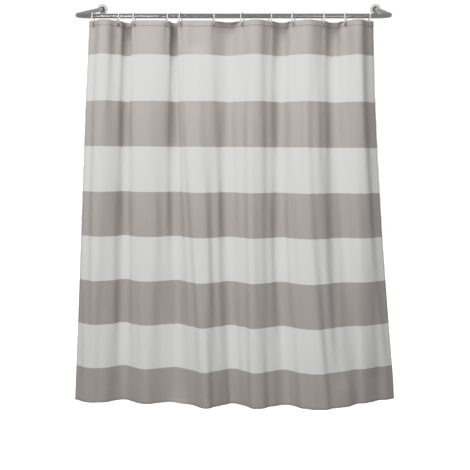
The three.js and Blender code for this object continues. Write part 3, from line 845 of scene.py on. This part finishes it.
def surfaceWaves(across, down, share):
    # Small offsets along the normal: pleats under the holes, puckers round them, and soft ripples that are a
    # sum of sines growing down the cloth.
    s, d = across[None, :], down[:, None]
    offset = np.zeros((len(down), len(across)))
    fade = np.exp(-np.clip(d - cloth["header"], 0, None) / wave["pleatDrop"]) * smooth(d / cloth["header"])
    for index, centre in enumerate(holeAcross):
        wide = wave["pleatWidth"] * (1 + 4 * share[:, None])
        offset -= wave["pleat"] * fade * np.exp(-((s - centre) / wide) ** 2)
        radius = np.hypot(s - centre, d - cloth["holeDrop"])
        angle = np.arctan2(d - cloth["holeDrop"], s - centre)
        ring = smooth((radius - 0.0065) / 0.006) * np.exp(-radius / wave["puckerReach"])
        offset += wave["pucker"] * ring * np.cos(7 * angle + index)
    draw = np.random.default_rng(wave["seed"])
    grow = smooth(share * 3.0)[:, None]
    for _ in range(wave["count"]):
        rateS = draw.uniform(*wave["across"]) * 2
        rateD = draw.uniform(*wave["downwards"])
        phase = draw.uniform(0.0, 2 * math.pi, 2)
        size = draw.uniform(*wave["height"]) / math.sqrt(wave["count"]) * 2.4
        bendLine = s + 0.02 * np.sin(2.6 * d + phase[1])
        swell = np.sin(rateS * bendLine * 2.2 + rateD * d + phase[0])
        offset += wave["ripple"] * size * (0.25 + 0.75 * grow) * swell
    return offset * smooth(d / 0.02 + 0.2)


def hemMask(across, down):
    # 1 on the doubled cloth at the top, sides and bottom.
    s, d = across[None, :], down[:, None]
    edge = cloth["edge"]
    top = 1 - smooth((d - cloth["headerHem"]) / edge)
    bottom = smooth((d - cloth["height"] + cloth["bottomHem"] + edge) / edge)
    side = np.minimum(s, cloth["width"] - s)
    sides = 1 - smooth((side - cloth["sideHem"]) / edge)
    return np.maximum(np.maximum(top, bottom), sides)


def stitchGroove(across, down):
    # How far the seam lines pull the surface in.
    s, d = across[None, :], down[:, None]
    lines = seamLines()
    groove = np.exp(-((d - lines["top"]) / 0.0013) ** 2) + np.exp(-((d - lines["bottom"]) / 0.0013) ** 2)
    side = np.minimum(s, cloth["width"] - s)
    return np.clip(groove + np.exp(-((side - lines["side"]) / 0.0013) ** 2), 0, 1)


def seamLines():
    return {"top": cloth["headerHem"] - 0.002, "side": cloth["sideHem"] - 0.002,
            "bottom": cloth["height"] - cloth["bottomHem"] + 0.002}


def clothGrid():
    across, down = columnsAndRows()
    x, y, heading, share = clothPlan(across, down)
    outward = np.stack([np.sin(heading), -np.cos(heading), 0 * heading], -1)  # towards the room
    z = cloth["topHeight"] - down[:, None] + 0 * x
    middle = np.stack([x, y, z], -1) + surfaceWaves(across, down, share)[..., None] * outward
    return across, down, middle, outward


def clothPiece():
    across, down, middle, outward = clothGrid()
    rows, columns = len(down), len(across)
    rim = np.minimum(np.minimum(across, cloth["width"] - across)[None, :],
                     np.minimum(down, cloth["height"] - down)[:, None])
    roundEdge = np.sqrt(1 - (1 - np.clip(rim / cloth["edge"], 0, 1)) ** 2) * 0.85 + 0.15
    thick = cloth["halfThickness"] * roundEdge
    groove = stitchGroove(across, down) * 0.0002
    hem = hemMask(across, down) * cloth["hemThickness"]
    face = middle + (thick - groove)[..., None] * outward
    reverse = middle - (thick + (hem - groove * 0.8) * roundEdge)[..., None] * outward
    uv = np.stack(np.broadcast_arrays(across[None, :], down[:, None]), -1)
    hole = np.isin(np.round(across, 6), np.round(holeAcross, 6)).nonzero()[0]
    holeRow = int(np.argmin(np.abs(down - cloth["holeDrop"])))
    # the eight points round each hole move out to its circle, and the point in the middle goes
    for column in hole:
        for dr in (-1, 0, 1):
            for dc in (-1, 0, 1):
                if dr or dc:
                    share = cloth["holeRadius"] / (cloth["holeStep"] * math.hypot(dr, dc))
                    for sheet in (face, reverse):
                        centre = sheet[holeRow, column]
                        outer = sheet[holeRow + dr, column + dc]
                        sheet[holeRow + dr, column + dc] = centre + (outer - centre) * share
                    uv[holeRow + dr, column + dc] = uv[holeRow, column] + (
                        uv[holeRow + dr, column + dc] - uv[holeRow, column]) * share
    count = rows * columns
    cells = gridFaces(rows, columns)
    cellRow, cellColumn = np.divmod(np.arange(len(cells)), columns - 1)
    beside = np.abs(cellRow + 0.5 - holeRow) < 1
    near = np.abs(cellColumn[:, None] + 0.5 - hole[None, :]).min(1) < 1
    cells = cells[~(beside & near)]
    rimCells = []
    index = np.arange(count).reshape(rows, columns)
    edges = [index[0, :], index[:, -1], index[-1, ::-1], index[::-1, 0]]
    for column in hole:
        steps = [(-1, -1), (-1, 0), (-1, 1), (0, 1), (1, 1), (1, 0), (1, -1), (0, -1), (-1, -1)]
        edges.append(np.array([index[holeRow + dr, column + dc] for dr, dc in steps]))
    for edge in edges:
        rimCells.append(np.stack([edge[:-1], edge[1:], edge[1:] + count, edge[:-1] + count], -1))
    faces = np.concatenate([cells[:, ::-1], cells + count] + rimCells)
    points = np.concatenate([face.reshape(-1, 3), reverse.reshape(-1, 3)])
    used = np.unique(faces)
    renumber = np.zeros(len(points), dtype=int)
    renumber[used] = np.arange(len(used))
    piece = addPiece("curtain", points[used], renumber[faces], materials["cloth"])
    flatPlaces = np.concatenate([uv.reshape(-1, 2)] * 2)[used]
    layer = piece.data.uv_layers.new(name="flat")
    corner = np.zeros(len(piece.data.loops), dtype=np.int32)
    piece.data.loops.foreach_get("vertex_index", corner)
    layer.data.foreach_set("uv", flatPlaces[corner].astype(np.float32).ravel())
    return turnOut(piece), (across, down, middle, outward)


curtain, hangs = clothPiece()
print("cloth made,", len(curtain.data.polygons), "faces")


stitch = {"pitch": 0.0034, "length": 0.0026, "radius": 0.00028, "rise": 0.00030}


def onCloth(s, d, side):
    # Points of the cloth's surface at flat places s, d: the grid's points mixed across each cell.
    across, down, middle, outward = hangs
    column = np.clip(np.searchsorted(across, s) - 1, 0, len(across) - 2)
    row = np.clip(np.searchsorted(down, d) - 1, 0, len(down) - 2)
    a = ((s - across[column]) / (across[column + 1] - across[column]))[..., None]
    b = ((d - down[row]) / (down[row + 1] - down[row]))[..., None]

    def mixed(field):
        top = field[row, column] * (1 - a) + field[row, column + 1] * a
        return top * (1 - b) + (field[row + 1, column] * (1 - a) + field[row + 1, column + 1] * a) * b

    normal = mixed(outward) * side
    depth = cloth["halfThickness"] - 0.0002
    if side < 0:
        depth = cloth["halfThickness"] + cloth["hemThickness"] - 0.00016
    return mixed(middle) + normal * depth, normal


def stitchPiece(name, side):
    # Each stitch is a short bead of thread: a four-sided tube whose ends sink into the cloth.
    lines = seamLines()
    inset = 0.004
    runs = []
    for d in (lines["top"], lines["bottom"]):
        start = np.arange(lines["side"], cloth["width"] - lines["side"] - stitch["pitch"], stitch["pitch"])
        runs.append((start, np.full(len(start), d), 1.0, 0.0))
    for s in (lines["side"], cloth["width"] - lines["side"]):
        start = np.arange(lines["top"] + inset, lines["bottom"] - inset, stitch["pitch"])
        runs.append((np.full(len(start), s), start, 0.0, 1.0))
    beads = []
    share = np.linspace(0.0, 1.0, 5)
    for s, d, alongS, alongD in runs:
        placeS = s[:, None] + share * stitch["length"] * alongS
        placeD = d[:, None] + share * stitch["length"] * alongD
        centre, normal = onCloth(placeS, placeD, side)
        centre = centre + normal * (stitch["rise"] * np.sin(math.pi * share) - 0.0001)[None, :, None]
        ahead = centre[:, -1] - centre[:, 0]
        ahead = ahead / np.linalg.norm(ahead, axis=1, keepdims=True)
        beside = np.cross(ahead[:, None, :], normal)
        radius = stitch["radius"] * (0.25 + 0.75 * np.sin(math.pi * share) ** 0.5)[None, :, None]
        ring = [centre + radius * (math.cos(v) * beside + math.sin(v) * normal)
                for v in 2 * math.pi * (np.arange(4) + 0.5) / 4]
        beads.append(np.stack(ring, 2).reshape(len(s), -1, 3))
    beads = np.concatenate(beads)
    one = gridFaces(5, 4, False, True)
    caps = np.array([(3, 2, 1, 0), (16, 17, 18, 19)])
    one = np.concatenate([one, caps])
    faces = (one[None] + (np.arange(len(beads)) * 20)[:, None, None]).reshape(-1, 4)
    return turnOut(addPiece(name, beads.reshape(-1, 3), faces, materials["thread"]))


seams = [stitchPiece("front_stitching", 1.0), stitchPiece("back_stitching", -1.0)]
print("stitching made")

ring = {
    "inner": 0.0235, "wire": 0.00225, "turn": [2, -16, 2, -14, 9, -10, 15, -15, 15, -10, 15, -2],
    "gap": 5.0, "splitAt": 45.0, "steps": 96, "sides": 20,
}
eyelet = {"hole": 0.004, "barrel": 0.005, "flange": 0.0065, "sheet": 0.0006, "inside": 0.0006,
          "height": -0.184464}


def ringPiece(name, centre, turn):
    # Wire on a circle, split at the back; towards the split the wire ends in domes.
    radius = ring["inner"] + ring["wire"]
    half = math.radians(ring["gap"]) / 2
    split = math.radians(ring["splitAt"])
    u = np.linspace(0.0, 1.0, ring["steps"] + 1)
    angle = split + half + u * (2 * math.pi - 2 * half)
    dome = ring["wire"] / radius  # the dome's length as an angle
    extra = np.linspace(0.0, dome, 7)[:-1]
    angle = np.unique(np.round(np.concatenate([angle, angle[0] + extra, angle[-1] - extra]), 9))
    radial = np.stack([0 * angle, np.cos(angle), np.sin(angle)], -1)
    across = np.ones((len(angle), 1)) * sideways
    fromEnd = np.minimum(angle - angle[0], angle[-1] - angle)
    cap = np.sqrt(np.clip(1 - (1 - np.clip(fromEnd / dome, 0, 1)) ** 2, 0.0, 1))
    wire = ring["wire"] * np.maximum(cap, 0.02)
    centres = radius * radial
    turned = np.array(Matrix.Rotation(-math.radians(turn), 3, "Z"))
    loop = [(index, size) for index, size in enumerate(wire)]
    piece = carried(name, centre + centres @ turned.T, radial @ turned.T, across @ turned.T, loop,
                    materials["ring"], ring["sides"], False)
    work = bmesh.new()
    work.from_mesh(piece.data)
    bmesh.ops.holes_fill(work, edges=[edge for edge in work.edges if edge.is_boundary], sides=0)
    bmesh.ops.recalc_face_normals(work, faces=work.faces)
    work.to_mesh(piece.data)
    work.free()
    return piece


def eyeletPiece(name, centre, heading):
    inside = eyelet["inside"]
    roll = np.linspace(0.0, math.pi, 9)
    middle = (eyelet["hole"] + eyelet["flange"]) / 2
    reach = (eyelet["flange"] - eyelet["hole"]) / 2
    frontRoll = [(inside + eyelet["sheet"] * math.sin(a), middle - reach * math.cos(a)) for a in roll]
    backRoll = [(-inside - eyelet["sheet"] * math.sin(a), middle + reach * math.cos(a)) for a in roll]
    profile = frontRoll + [(inside, eyelet["barrel"]), (-inside, eyelet["barrel"])] + backRoll
    outward = (math.sin(heading), -math.cos(heading), 0.0)
    return lathe(name, centre, outward, (0, 0, 1.0), profile, materials["eyelet"], 40)


def makeRings():
    across, down, middle, outward = hangs
    holeRow = int(np.argmin(np.abs(down - cloth["holeDrop"])))
    for index, s in enumerate(holeAcross):
        number = "%02d" % (index + 1)
        column = int(np.argmin(np.abs(across - s)))
        place = middle[holeRow, column]
        normal = outward[holeRow, column]
        body = "ring_%s_set" % number
        height = -rod["rise"] + rod["radius"] + rod["gap"] - ring["inner"]
        centre = np.array((place[0], -rod["projection"], height))
        made = ringPiece("split_ring_" + number, centre, ring["turn"][index])
        standIn(sharpen(made, 60), body, "ring_plastic", "ring_" + number)
        heading = math.atan2(normal[0], -normal[1])
        made = eyeletPiece("grommet_" + number, np.array((place[0], place[1], eyelet["height"])), heading)
        standIn(sharpen(made, 50), body, "eyelet_nickel", "eyelet_" + number)


makeRings()
print("rings and eyelets made")

for piece in [curtain] + seams:
    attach(piece, "curtain")
    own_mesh(piece)
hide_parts("curtain_cloth")
